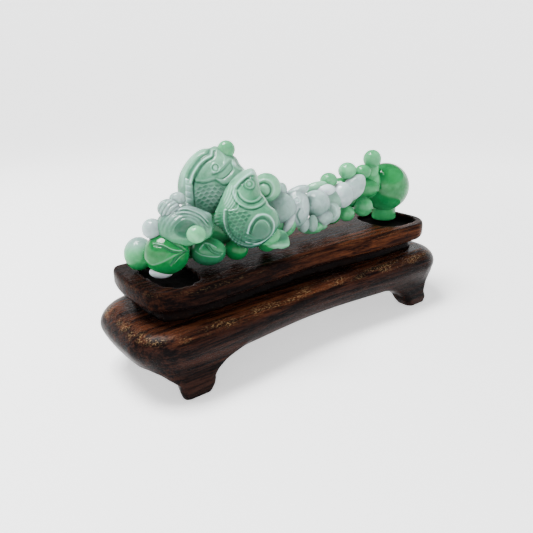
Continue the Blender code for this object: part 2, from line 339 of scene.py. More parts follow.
toe_heights = (0.0, 0.7, 2.6, 3.9, 4.7, 6.3, 8.2, 9.9, 12.5)
toe_inner_x = (47.4, 46.2, 45.0, 44.5, 44.3, 42.2, 38.2, 34.2, 30.0)
toe_outer_x = (55.6, 56.8, 57.5, 57.3, 57.2, 58.6, 60.4, 61.8, 62.0)
toe_inner_y = (14.6, 13.2, 12.0, 11.4, 10.6, 8.6, 6.3, 4.4, 2.6)
toe_outer_y = (20.0, 20.7, 20.9, 20.7, 20.4, 19.9, 19.3, 19.2, 19.3)


def foot_field(x, y, z):
    """A square toe with a waist above it, which spreads into the underside of the base."""
    inner_x, outer_x = np.interp(z, toe_heights, toe_inner_x), np.interp(z, toe_heights, toe_outer_x)
    inner_y, outer_y = np.interp(z, toe_heights, toe_inner_y), np.interp(z, toe_heights, toe_outer_y)
    corner = np.interp(z, (0.0, 4.5, 9.9), (2.4, 2.9, 5.0))
    splay = np.interp(z, (3.5, 7.0), (0.30, 0.0))
    outer = outer_x - splay * np.maximum(outer_y - np.abs(y), 0)
    across = np.abs(np.abs(x) - (inner_x + outer) / 2) - (outer - inner_x) / 2 + corner
    deep = np.abs(np.abs(y) - (inner_y + outer_y) / 2) - (outer_y - inner_y) / 2 + corner
    outside = np.hypot(np.maximum(across, 0), np.maximum(deep, 0))
    plan = outside + np.minimum(np.maximum(across, deep), 0) - corner
    return both(both(plan, -z, 0.8), z - toe_heights[-1], 0.5)


def base_field(x, y, z):
    """The cushion edge is a quarter ellipse above the ridge and a tucked-in curve below it."""
    above = np.clip((z - base_ridge) / 5.6, 0.0, 1.0)
    below = np.clip((base_ridge - z) / (base_ridge - apron_bottom), 0.0, 1.2)
    inset = 8.4 * (1 - np.sqrt(1 - 0.995 * above**2)) + 3.4 * below**1.6
    cushion = (base_outline(x, y) + inset) * 0.8
    slab = both(both(cushion, z - base_top, 0.6), apron_bottom - z, 1.2)
    return either(slab, foot_field(x, y, z), 2.4)


def halves(name_left, name_right, points, quads, seam_x, finish):
    """Cuts one tier's skin across at a seam and closes the cut of each length."""
    made = []
    for name, side in ((name_left, -1), (name_right, 1)):
        piece = mesh_piece(name, points, quads, finish)
        shape = bmesh.new()
        shape.from_mesh(piece.data)
        cut = bmesh.ops.bisect_plane(
            shape,
            geom=[*shape.verts, *shape.edges, *shape.faces],
            dist=1e-6,
            plane_co=((seam_x + side * seam_width / 2) * MM, 0.0, 0.0),
            plane_no=(-side, 0.0, 0.0),
            clear_outer=True,
        )
        rim = [part for part in cut["geom_cut"] if isinstance(part, bmesh.types.BMEdge)]
        closed = bmesh.ops.contextual_create(shape, geom=rim)["faces"]
        for face in closed:
            face.smooth = False
        bmesh.ops.recalc_face_normals(shape, faces=closed)
        shape.to_mesh(piece.data)
        shape.free()
        piece.data.set_sharp_from_angle(angle=math.radians(50))
        made.append(piece)
    return made


def rosewood(name, lit_warm_heights, lit_warm_share, wear_heights=(0.0, 0.1), wear_share=0.0, left_share=1.0,
             stain_and_shade=1.0, gloss=0.028):
    """Polished rosewood, grain along X: near-black figure over red-brown, warmest between two
    heights, open pores, and pale wax in the pores where handling has worn the polish. The warm
    band is partly the wood's own red-brown and partly painted light, laid on the upper faces that
    the overhead softbox lights. Each point's hollow value paints a socket's shade into it: near
    black, rougher and without relief.

    left_share is how much of the warmth the left end keeps, stain how far the brown shows
    through the black between the warm heights, and gloss how strongly the polish reflects. A low
    stain value, as on the neck, is painted shade.
    """
    wood = Recipe(name, Specular_IOR_Level=gloss)
    height = wood.axis("Z")
    drift = wood.noise(wood.place(60.0, 14.0, 9.0), 2.0)
    figure = wood.noise(wood.place(34.0, 1.9, 1.5), 4.0, 0.62, 0.4)
    fine = wood.noise(wood.place(9.0, 0.45, 0.40), 3.0, 0.6)
    streak = (figure * 0.75 + fine * 0.35).between(0.46, 0.68)
    # Painted light: between the two heights the colour turns to the warm glow, partly the wood's red-brown
    # and partly the light on the upper faces.
    low, high = lit_warm_heights
    soft = (high - low) * 0.45
    rise = (height + drift * 3.0 - 1.5).between(low - soft, low + soft)
    fall = (height + drift * 3.0 - 1.5).between(high - soft, high + soft)
    rightward = wood.axis("X").between(-30.0, 30.0)
    warm = rise * (1.0 - fall) * lit_warm_share * (rightward * (1.0 - left_share) + left_share)
    brown = wood.blend(streak, (0.0022, 0.0016, 0.0017), (0.020 * stain_and_shade, 0.0078 * stain_and_shade, 0.0054 * stain_and_shade))
    glow = wood.blend(streak, (0.012, 0.0042, 0.0026), (0.105, 0.031, 0.011))
    lit = wood.blend(warm * drift.between(0.30, 0.62), brown, glow)
    pores = wood.noise(wood.place(1.5, 0.19, 0.19), 1.0, 0.4).between(0.62, 0.70)
    worn_low, worn_high = wear_heights
    worn = height.between(worn_low, worn_low + 1.2) * (1.0 - height.between(worn_high - 1.2, worn_high))
    patch = wood.noise(wood.place(11.0, 5.0, 3.0), 2.0).between(0.42, 0.62)
    speck = wood.noise(wood.place(0.75, 0.30, 0.26), 2.0, 0.6).between(0.52, 0.66)
    waxed = wood.blend(speck * worn * patch * wear_share, lit, (0.30, 0.19, 0.085))
    # Painted shade: where hollow is near one, inside a socket, the colour turns near black.
    hollow = wood.node("ShaderNodeAttribute", {"attribute_name": "hollow"}, None, "Fac")
    polished = wood.blend(hollow, waxed, (0.0025, 0.0023, 0.0022))
    wood.feed(wood.shader, "Base Color", wood.blend(pores * 0.8, polished, (0.0015, 0.0012, 0.0012)))
    polish = 0.20 + 0.10 * figure + 0.25 * pores + 0.20 * speck * worn
    wood.feed(wood.shader, "Roughness", polish + 0.45 * hollow)
    wood.bump((figure * 0.5 - pores * 1.0 + fine * 0.25 + drift * 2.0) * (1.0 - hollow), 0.00012)
    return wood.material


# On the base the warm band covers the top and the upper rounding of the cushion, partly painted light where
# the overhead softbox falls.
base_wood = rosewood("base_rosewood", (20.0, 23.4), 0.65, (19.2, 21.9), 0.6)
base_low = (-base_half - 1.3, -24.2, -1.1)
base_high = (base_half + 1.3, 24.2, base_top + 1.1)
base_skin = skin_of(base_field, base_low, base_high, 0.6)
base_pieces = halves("base_short_length", "base_long_length", *base_skin, base_seam, base_wood)
for piece, node in zip(base_pieces, ("base_short_section", "base_long_section")):
    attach(piece, "stand")
    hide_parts(node)


# ---------------------------------------------------------------------------
# Rosewood stand: neck and top board
# A recessed layer carries the top board; its rosewood is stained near black as painted shade
# under the board. The board is glued up from two lengths, follows the base's bow in front, and
# has a shallow socket sunk at each end for the carving's feet, darkened inside with painted shade.

socket_depth = 2.0
board_edge_low, board_edge_high = board_bottom + 2.3, board_top - 2.5


def board_outline(x, y):
    """The board seen from above: bowed in front like the base, drawn in at its left end, where
    its corners are tight, and widely rounded at its right end."""
    left = x < 0
    bow = 13.5 + 2.9 * lobe(x, 46)
    tuck = 5.4 * (np.maximum(np.abs(x) - 47.0, 0.0) / 12.4) ** 1.7
    front = np.where(left, bow - tuck, bow)
    half_length = np.where(left, 61.0 - 2.4 * ((y - 2) / 16) ** 2, 62.4 - 1.0 * (y / 16) ** 2)
    corner = np.where(left, np.where(y < 0, 1.2, 2.0), np.where(y < 0, 10.0, 9.0))
    return outline(x, y, half_length, front, 15.0 + 1.5 * lobe(x, 46), corner)


def socket_field(x, y, middle_x, middle_y, half_x, half_y):
    """A round-cornered pit cut by hand: its wall wanders a little, and its floor is chiselled."""
    wander = 0.35 * np.sin(1.1 * x + 0.6 * y) * np.sin(0.7 * x - 0.9 * y + 1.0)
    reach = ((np.abs(x - middle_x) / half_x) ** 2.7 + (np.abs(y - middle_y) / half_y) ** 2.7) ** (1 / 2.7)
    return (reach - 1.0) * min(half_x, half_y) + wander


sockets = ((-48.6, -0.6, 7.0, 12.6), (49.8, -2.6, 10.4, 10.6))


def board_field(x, y, z):
    """The board's outline, drawn in near its top and bottom faces, less a pit for each socket."""
    lower = np.clip((board_edge_low - z) / 2.3, 0.0, 1.2)
    upper = np.clip((z - board_edge_high) / 2.5, 0.0, 1.2)
    plan = (board_outline(x, y) - 0.65 + 0.9 * lower**2.6 + 0.6 * upper**3) * 0.9
    board = both(both(plan, z - board_top, 0.5), board_bottom - z, 0.5)
    chisel = 0.03 * np.sin(1.9 * x + 0.8 * y) * np.sin(1.3 * y - 0.5 * x)
    floor_height = board_top - socket_depth + chisel
    for pit in sockets:
        void = both(socket_field(x, y, *pit), floor_height - z, 0.5)
        board = both(board, -void, 0.35)
    return board


def neck_field(x, y, z):
    """The board's outline set back four millimetres, with a shallow half-wave cove up its side."""
    cove = 0.5 * np.sin(math.pi * np.clip((z - neck_low) / (neck_high - neck_low), 0, 1))
    plan = board_outline(x, y) + 4.0 + cove
    return both(both(plan, z - base_top - 4.7, 0.2), base_top - 0.15 - z, 0.2)


# On the board the warm band lies along the upper edge and top, mostly on the right half, partly painted
# light.
board_wood = rosewood("board_rosewood", (26.5, 35.0), 0.55, (31.0, 33.3), 0.12, 0.15, 0.6, 0.007)
board_low = (-62.9, -18.2, board_bottom - 1.0)
board_high = (64.4, 18.2, board_top + 1.0)
board_skin = skin_of(board_field, board_low, board_high, 0.5)
board_pieces = halves("top_long_length", "top_short_length", *board_skin, top_seam, board_wood)
for piece, node in zip(board_pieces, ("top_board_long", "top_board_short")):
    spots = np.empty(len(piece.data.vertices) * 3, np.float32)
    piece.data.vertices.foreach_get("co", spots)
    x, y, z = spots.reshape(-1, 3).T / MM
    # hollow is one on a socket's floor and wall, where the board's colour paints the socket's shade.
    nearest_pit = np.min([socket_field(x, y, *pit) for pit in sockets], axis=0)
    depth_in = smoother(0.1, 1.0, board_top - z) * (1 - smoother(0.2, 0.9, nearest_pit))
    hollow = piece.data.attributes.new("hollow", "FLOAT", "POINT")
    hollow.data.foreach_set("value", depth_in.astype(np.float32))
    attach(piece, "stand")
    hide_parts(node)

# The neck's low stain value turns its rosewood near black: painted shade in the recess under the board. The
# edge pin uses the same near-black wood.
neck_wood = rosewood("neck_rosewood", (20.0, 30.0), 0.02, stain_and_shade=0.15, gloss=0.015)
neck_skin = skin_of(neck_field, (-59.5, -14.5, base_top - 1.0), (60.5, 14.5, neck_high + 1.0), 0.7)
neck = mesh_piece("recessed_neck", *neck_skin, neck_wood)
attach(neck, "stand")
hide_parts("neck_board")


def closed_skin(grid):
    """Quads over a grid of rows and columns whose columns run all the way round. The first and
    the last row each shrink to a pole, which pairs of columns share."""
    rows, columns = grid.shape[:2]
    points = np.concatenate([grid[0].mean(0)[None], grid[1:-1].reshape(-1, 3), grid[-1].mean(0)[None]])
    row, column = np.meshgrid(np.arange(rows - 3), np.arange(columns), indexing="ij")
    after = (column + 1) % columns
    corners = ((row, column), (row, after), (row + 1, after), (row + 1, column))
    body = np.stack([1 + i * columns + j for i, j in corners], axis=-1).reshape(-1, 4)
    pair = np.arange(0, columns, 2)
    last = 1 + (rows - 3) * columns
    ends = (pair, pair + 1, (pair + 2) % columns)
    first_cap = np.stack([np.zeros_like(pair), *(1 + end for end in ends[::-1])], axis=-1)
    last_cap = np.stack([np.full_like(pair, len(points) - 1), *(last + end for end in ends)], axis=-1)
    quads = np.concatenate([body, first_cap, last_cap])
    a, b, c, d = (points[quads[:, k]] for k in range(4))
    inward = np.einsum("ij,ij->", a, np.cross(b, c)) + np.einsum("ij,ij->", a, np.cross(c, d)) < 0
    return points, quads[:, ::-1] if inward else quads


# The pin is turned: a profile of (radius, place along Y), carried round and made a little taller
# than it is wide.
plug_x, plug_z, plug_tallness = -37.5, 28.9, 1.35
plug_angle = np.linspace(0, 2 * math.pi, 32, endpoint=False)
plug_profile = np.array([
    (0, -16.90), (0.55, -16.94), (0.78, -16.84), (0.8, -16.0), (0.8, -10.8), (0, -10.8),
])
plug_radius, plug_depth = plug_profile[:, 0][:, None], plug_profile[:, 1][:, None]
plug_grid = np.stack([
    plug_x + plug_radius * np.cos(plug_angle),
    plug_depth + 0 * plug_angle,
    plug_z + plug_tallness * plug_radius * np.sin(plug_angle),
], axis=-1)
plug = mesh_piece("edge_pin", *closed_skin(plug_grid), neck_wood)
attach(plug, "stand")
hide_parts("edge_plug")


# ---------------------------------------------------------------------------
# Rosewood stand: upright pins
# Four bamboo pins run up through all three layers and hold each length of the base to the
# board above it. They fill their bores, so the frame's own solids serve, in cut bamboo.

bamboo = Recipe("bamboo", Specular_IOR_Level=0.25)
fibres = bamboo.noise(bamboo.place(0.35, 0.35, 14.0), 3.0, 0.6)
vessels = bamboo.noise(bamboo.place(0.22, 0.22, 5.0), 1.0, 0.4).between(0.58, 0.66)
straw = bamboo.blend(fibres.between(0.35, 0.65), (0.33, 0.20, 0.085), (0.52, 0.36, 0.17))
bamboo.feed(bamboo.shader, "Base Color", bamboo.blend(vessels * 0.7, straw, (0.14, 0.075, 0.030)))
bamboo.feed(bamboo.shader, "Roughness", 0.50 + 0.15 * fibres)
bamboo.bump(fibres - vessels, 0.00004)
for number in range(1, 5):
    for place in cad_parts[f"dowel_{number}"].material_slots:
        place.material = bamboo.material


# ---------------------------------------------------------------------------
# Jade carving: the stone, and its beads
# One translucent jadeite stone, green at both ends and icy in the middle, drilled and carved all
# round. It stands in the board's sockets by its end beads and the foot under the large ball.

eye_point = np.array(viewer.location) / MM


def jade():
    """Stone coloured by three values kept with each point: greenness, paleness and carved depth.
    Greenness runs from icy grey-green through apple green at a half to deep green at one, and
    paleness from dark bottle green at minus one to lavender white at one.

    Clouds drift through both greens, cuts are darkened with painted shade and ridges lightened
    with a pale painted highlight, and a share of the light passes under the surface, more in
    green than in red.
    """
    stone = Recipe(
        "jade",
        IOR=1.62,
        Subsurface_Weight=0.55,
        Subsurface_Radius=(0.45, 1.0, 0.62),
        Subsurface_Scale=0.0028,
        Roughness=0.07,
        Specular_IOR_Level=0.16,
        Transmission_Weight=0.04,
    )
    values = {}
    for name in ("greenness", "paleness", "carved"):
        values[name] = stone.node("ShaderNodeAttribute", {"attribute_name": name}, None, "Fac")
    cloud = stone.noise(stone.place(11.0, 9.0, 9.0), 3.0, 0.5, 0.4)
    wisp = stone.noise(stone.place(2.2, 2.2, 2.6), 3.0, 0.6, 1.0)
    mixed = (cloud * 0.75 + wisp * 0.25).between(0.30, 0.72)
    icy = stone.blend(mixed, (0.050, 0.135, 0.095), (0.20, 0.31, 0.285))
    apple = stone.blend(mixed, (0.020, 0.22, 0.070), (0.075, 0.46, 0.165))
    green = stone.blend(mixed, (0.0018, 0.090, 0.018), (0.009, 0.18, 0.045))
    lilac = stone.blend(mixed, (0.30, 0.38, 0.38), (0.62, 0.67, 0.71))
    greenish = stone.blend(values["greenness"].between(0.0, 0.5), icy, apple)
    colour = stone.blend(values["greenness"].between(0.5, 1.0), greenish, green)
    colour = stone.blend(values["paleness"], colour, lilac)
    deep = (0.0 - values["paleness"]).between(0.0, 1.0)
    colour = stone.blend(deep, colour, (0.012, 0.075, 0.048))
    # Painted shade in the cuts and a pale painted highlight along the ridges, both from the carved depth.
    cut = 1.0 - values["carved"].between(-0.25, 0.05)
    colour = stone.blend(cut * 0.7, colour, (0.02, 0.09, 0.055))
    ridge = values["carved"].between(0.10, 0.50)
    colour = stone.blend(ridge * 0.45, colour, (0.42, 0.58, 0.58))
    stone.feed(stone.shader, "Base Color", colour)
    return stone.material


stone = jade()


def spread(values):
    """Grid values in closed_skin's point order."""
    return np.concatenate([[values[0].mean()], values[1:-1].ravel(), [values[-1].mean()]])


def round_curve(pairs, angle):
    """A radius that runs smoothly round through (degrees, radius) pairs."""
    degrees, radii = np.array(pairs, float).T
    fine = np.linspace(0, 360, 720, endpoint=False)
    run = np.interp(fine, degrees, radii, period=360)
    weight = np.exp(-0.5 * (np.arange(-20, 21) / 8.0) ** 2)
    run = np.convolve(np.concatenate([run[-20:], run, run[:20]]), weight / weight.sum(), "valid")
    return np.interp(np.degrees(angle), fine, run, period=360)


def plain(a, b):
    """No relief: a polished surface."""
    return np.zeros_like(a)


def carved(name, middle, outline_of, depth, relief=plain, green=0.0, pale=0.0, lean=0.0, size=(40, 96),
           square=2.0):
    """A lump whose outline faces the front-left viewpoint, with a and b measured right of and
    above its middle in millimetres.

    Its radius at an angle comes from outline_of. It swells towards the viewpoint by depth, less
    near the rim, plus the relief at (a, b), and the same way behind. A larger square fills the
    swell out towards the rim, and lean turns it clockwise. green and pale are each one value, or
    the value at the middle and its rise for each millimetre up.
    """
    rows, columns = size
    angle = np.linspace(0, 2 * math.pi, columns, endpoint=False)
    share = np.sin(np.linspace(0, math.pi / 2, rows))[:, None]
    reach = outline_of(angle)
    a, b = share * reach * np.cos(angle), share * reach * np.sin(angle)
    swell = depth * np.sqrt(1 - share**square * 0.9999) * np.ones_like(a)
    fade = 1 - share**12
    height = relief(a, b)
    front = np.stack([a, b, swell + height * fade], axis=-1)
    rear = np.stack([a, b, -(swell + height * fade)], axis=-1)
    grid = np.concatenate([front, rear[-2::-1]])
    tilt = math.radians(lean)
    spin = np.array([[math.cos(tilt), -math.sin(tilt), 0], [math.sin(tilt), math.cos(tilt), 0], [0, 0, 1]])
    towards = (eye_point - middle) / np.linalg.norm(eye_point - middle)
    rightwards = np.array(level_right) - towards * np.dot(level_right, towards)
    rightwards = rightwards / np.linalg.norm(rightwards)
    facing = np.array([rightwards, np.cross(towards, rightwards), towards])
    points, quads = closed_skin(grid @ spin @ facing + np.array(middle))
    piece = mesh_piece(name, points, quads, stone)
    both_sides = np.concatenate([height * fade, (height * fade)[-2::-1]])
    up = points[:, 2] - middle[2]
    # The relief is kept as the carved depth, which the jade turns into painted shade in cuts and painted
    # highlight on ridges.
    held = {"carved": spread(both_sides)}
    held["greenness"] = np.full(len(points), green) if np.isscalar(green) else green[0] + green[1] * up
    held["paleness"] = np.full(len(points), pale) if np.isscalar(pale) else pale[0] + pale[1] * up
    for key, values in held.items():
        piece.data.attributes.new(key, "FLOAT", "POINT").data.foreach_set("value", values.astype(np.float32))
    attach(piece, "carving")
    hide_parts("jade_carving")
    return piece


def oval(half_a, half_b):
    """The radius of an ellipse with these half widths, at any angle."""
    return lambda angle: half_a * half_b / np.hypot(half_b * np.cos(angle), half_a * np.sin(angle))


def bead(name, middle, halves, **more):
    """A polished oval lump: halves are its half sizes right, up and towards the viewer."""
    return carved(name, middle, oval(halves[0], halves[1]), halves[2], **more)


def through(points):
    """A smooth path through points: each stretch bends towards its neighbours (Catmull-Rom)."""
    p = np.array([points[0], *points, points[-1]], float)
    t = np.linspace(0, 1, 9)[:, None]
    runs = []
    for p0, p1, p2, p3 in zip(p, p[1:], p[2:], p[3:]):
        square_part = (2 * p0 - 5 * p1 + 4 * p2 - p3) * t**2
        cube_part = (3 * p1 - p0 - 3 * p2 + p3) * t**3
        runs.append(0.5 * (2 * p1 + (p2 - p0) * t + square_part + cube_part))
    return np.concatenate(runs)


def line(a, b, points, width):
    """1 on the path through these points and 0 a little over this many millimetres from it."""
    path = through(points)
    nearest = np.full(np.shape(a), 1e9)
    for (a0, b0), (a1, b1) in zip(path, path[1:]):
        run, rise = a1 - a0, b1 - b0
        along = np.clip(((a - a0) * run + (b - b0) * rise) / max(run * run + rise * rise, 1e-9), 0, 1)
        nearest = np.minimum(nearest, np.hypot(a - a0 - along * run, b - b0 - along * rise))
    return np.exp(-((nearest / width) ** 2))


def patch(a, b, middle, halves, soft=0.15):
    """1 inside an oval patch, falling to 0 across its soft edge."""
    reach = np.hypot((a - middle[0]) / halves[0], (b - middle[1]) / halves[1])
    return 1 - smoother(1 - soft, 1 + soft, reach)


def circle(a, b, middle, radius, width):
    """1 on a circle, falling to 0 on both sides of it."""
    return np.exp(-(((np.hypot(a - middle[0], b - middle[1]) - radius) / width) ** 2))


def scales(a, b, pitch, turn=0.0):
    """Overlapping fish scales in staggered rows: each rises towards its lower rim, then drops."""
    along = (a * math.cos(turn) + b * math.sin(turn)) / pitch
    down = (b * math.cos(turn) - a * math.sin(turn)) / (0.62 * pitch)
    height, settled = np.zeros_like(a), np.zeros(a.shape, bool)
    for above in (2, 1, 0):
        row = np.floor(down) + above
        shift = 0.5 * (row % 2)
        middle = np.round(along - shift) + shift
        far = np.hypot(along - middle, 0.62 * (row - down)) / 0.72
        mine = (far < 1) & ~settled
        height = np.where(mine, far**2 * (1 - smoother(0.86, 1.0, far)), height)
        settled |= mine
    return height


bead("pale_end_bead", (-54.0, 7.1, 38.5), (4.6, 5.2, 4.8), green=(0.52, -0.10), pale=(0.0, 0.02))
bead("small_side_bead", (-43.8, -11.0, 46.8), (2.8, 2.6, 2.6), green=0.55, pale=0.15)
bead("milky_bead", (-51.7, 0.8, 47.4), (3.1, 3.1, 3.1), green=0.0, pale=0.75)
bead("crown_bead", (-23.6, 2.4, 67.5), (2.8, 2.8, 2.7), green=0.45, pale=0.12)
# The bead below the lower fish is deep green, partly the stone's green and partly painted shade, as it lies
# in shadow.
bead("dark_bead", (-26.5, -5.6, 37.2), (3.8, 3.5, 3.6), green=0.95)
bead("under_tail_bead", (-13.7, -4.9, 35.9), (3.0, 2.5, 2.9), green=0.85)
bead("white_foot", (-51.2, -1.4, 34.3), (3.6, 2.0, 3.2), pale=1.0)


def peach_cuts(a, b):
    """Two leaves that meet at the right, cut in round the fruit."""
    height = 0.30 * line(a, b, ((-3.6, 3.0), (-1.2, 2.5), (2.2, 0.9), (5.6, 0.8)), 0.30)
    height -= 0.34 * line(a, b, ((-3.2, 2.4), (-0.8, 1.8), (2.2, 0.3), (5.6, 0.6)), 0.30)
    height += 0.22 * line(a, b, ((0.9, 4.4), (3.2, 2.9), (5.6, 1.0)), 0.28)
    height -= 0.25 * line(a, b, ((0.1, 4.3), (2.9, 2.3), (5.6, 0.7)), 0.26)
    height -= 0.34 * line(a, b, ((1.2, -3.3), (3.0, -1.2), (5.6, 0.6)), 0.32)
    height += 0.25 * line(a, b, ((1.9, -3.1), (3.8, -1.2), (5.7, 0.3)), 0.30)
    below = line(a, b, ((-6.6, -1.0), (-4.6, -3.2), (-1.6, -2.6), (1.6, -1.0), (4.2, 0.3)), 0.55)
    height += 0.22 * below
    return height


bead("bright_peach", (-49.1, -1.7, 39.8), (6.8, 6.4, 6.3), relief=peach_cuts, green=1.0, size=(90, 200))


def bud_cuts(a, b):
    """A sepal raised along its upper edge, two veins cut across it, and a rim under it."""
    height = 0.34 * line(a, b, ((-2.6, 0.9), (-0.9, 2.6), (1.0, 2.1), (2.4, 1.2)), 0.30)
    height -= 0.36 * line(a, b, ((-1.1, 2.3), (0.6, 0.4), (2.2, -0.7), (3.8, -1.1)), 0.24)
    height -= 0.36 * line(a, b, ((0.2, 2.0), (1.4, 0.6), (2.6, -0.2), (3.9, -0.4)), 0.22)
    height += 0.28 * line(a, b, ((-3.9, 0.2), (-2.2, -0.9), (0.4, -1.5), (3.0, -1.6), (4.4, -0.6)), 0.30)
    return height


bead("leafy_bud", (-36.1, -4.1, 38.1), (5.6, 4.4, 4.7), relief=bud_cuts, green=(0.76, -0.03),
     pale=(-0.55, 0.03), size=(80, 180))


# ---------------------------------------------------------------------------
# Jade carving: upper fish
# A round-bodied fish that looks up and to the right. A polished dorsal band wraps its back, with
# a serrated fin beside it, and the belly is cut in rows of scales.


def upper_fish_outline(angle):
    """A round body that is fullest at its lower left, with a snout at the right."""
    return 1.055 * round_curve(
        ((0, 9.8), (14, 10.4), (19, 9.9), (32, 9.2), (42, 9.8), (51, 9.6), (71, 9.7), (86, 10.4), (92, 10.0),
         (96, 9.3), (103, 9.9), (115, 9.9), (133, 9.7), (151, 9.8), (170, 10.4), (187, 11.0), (198, 11.5),
         (211, 12.0), (222, 12.9), (230, 12.3), (238, 11.4), (260, 10.5), (281, 9.8), (305, 8.8), (330, 8.2),
         (346, 8.6)),
        angle,
    )


def upper_fish_cuts(a, b):
    """Raised lines for the dorsal band, cheek and jaw, with grooves beside them; saw teeth on
    the fin; rings round the eye; and scales inside an oval patch on the belly."""
    ridge = ((-0.2, 9.2), (-0.6, 7.6), (-2.5, 6.5), (-4.2, 5.0), (-5.6, 3.1), (-6.6, 1.2), (-7.0, -0.4))
    height = 0.62 * line(a, b, ridge, 0.36)
    height -= 0.40 * line(a, b, [(p + 0.8, q - 0.45) for p, q in ridge], 0.45)
    height -= 0.30 * line(a, b, [(p - 0.8, q + 0.40) for p, q in ridge], 0.6)
    height += 0.30 * line(a, b, ((-2.4, 9.2), (-5.2, 7.4), (-7.6, 4.6), (-9.1, 1.6), (-9.8, -1.5)), 0.6)
    in_fin = smoother(-8.9, -8.5, a) * (1 - smoother(-6.5, -6.1, a)) * smoother(-9.4, -8.4, b)
    in_fin = in_fin * (1 - smoother(0.4, 1.0, b))
    tooth = ((b + 0.3 * a) / 1.9) % 1.0
    height += in_fin * (0.18 + 0.55 * tooth * smoother(-6.4, -8.6, a))
    height -= 0.45 * line(a, b, ((-6.0, 0.2), (-6.3, -2.3), (-6.2, -5.5), (-6.1, -9.0)), 0.26)
    height += 0.26 * circle(a, b, (0.7, 3.8), 1.35, 0.24)
    height += 0.30 * patch(a, b, (0.7, 3.8), (0.7, 0.7), 0.4)
    height -= 0.16 * circle(a, b, (0.7, 3.8), 0.95, 0.20)
    cheek = ((-0.6, 2.4), (1.6, 3.3), (3.1, 4.4), (5.2, 6.6))
    height += 0.22 * line(a, b, cheek, 0.4)
    height -= 0.18 * line(a, b, [(p + 0.5, q - 0.7) for p, q in cheek], 0.35)
    gill = ((5.6, 5.0), (5.9, 3.2), (4.6, 1.6), (2.8, 0.5), (0.7, 0.8))
    height -= 0.22 * line(a, b, gill, 0.28)
    height += 0.18 * line(a, b, [(p + 0.6, q - 0.5) for p, q in gill], 0.4)
    jaw = ((-6.0, -0.4), (-3.4, -0.8), (-1.3, -0.4), (0.7, 0.0), (2.8, -1.4), (4.8, -1.2), (7.2, 0.2))
    height -= 0.24 * line(a, b, jaw, 0.30)
    height += 0.20 * line(a, b, [(p, q + 0.8) for p, q in jaw], 0.6)
    height += 0.32 * line(a, b, ((6.2, 6.4), (6.4, 4.9), (7.6, 3.6), (9.6, 2.6)), 0.36)
    height -= 0.30 * line(a, b, ((7.0, 6.2), (7.4, 4.9), (8.8, 3.8)), 0.26)
    height += 0.35 * patch(a, b, (6.5, 4.9), (0.7, 0.6), 0.5)
    height += 0.22 * line(a, b, ((0.8, 9.6), (2.8, 8.4), (3.6, 6.6), (3.4, 5.0)), 0.35)
    belly = patch(a, b, (-1.2, -4.8), (5.0, 4.4), 0.08) * (1 - smoother(-1.6, -0.9, b))
    return height + belly * (0.36 * scales(a + 0.12 * b, b + 0.05 * a * a, 1.85) - 0.20)


carved("upper_fish", (-27.4, 4.6, 57.9), upper_fish_outline, 6.6, upper_fish_cuts, green=(0.16, 0.010),
       pale=(-0.12, 0.030), size=(130, 400), square=2.6)

# ---------------------------------------------------------------------------
# Jade carving: lower fish
# The second fish stands nose up with its tail curled round in front of it. Its dorsal fin is
# notched along the left and lower rim, and a fan of tail rays spreads at the right.


def lower_fish_outline(angle):
    """A pear with its nose up; a triangle wave in the angle notches the fin at its left."""
    reach = round_curve(
        ((3, 9.5), (12, 7.7), (34, 7.5), (50, 7.6), (62, 9.4), (72, 12.2), (79, 14.2), (84, 13.2),
         (92, 12.7), (107, 11.0), (124, 9.7), (143, 8.6), (165, 8.5), (176, 9.2), (186, 9.8), (197, 10.5),
         (204, 10.6), (211, 9.2), (229, 9.4), (248, 10.4), (261, 11.1), (275, 11.6), (295, 11.6),
         (319, 11.4), (334, 11.5), (344, 11.2)),
        angle,
    )
    degrees = np.degrees(angle) % 360
    notched = smoother(176, 182, degrees) * (1 - smoother(262, 268, degrees))
    return reach + 0.36 * notched * (np.abs((degrees / 6.4) % 1.0 - 0.5) * 2 - 0.5)


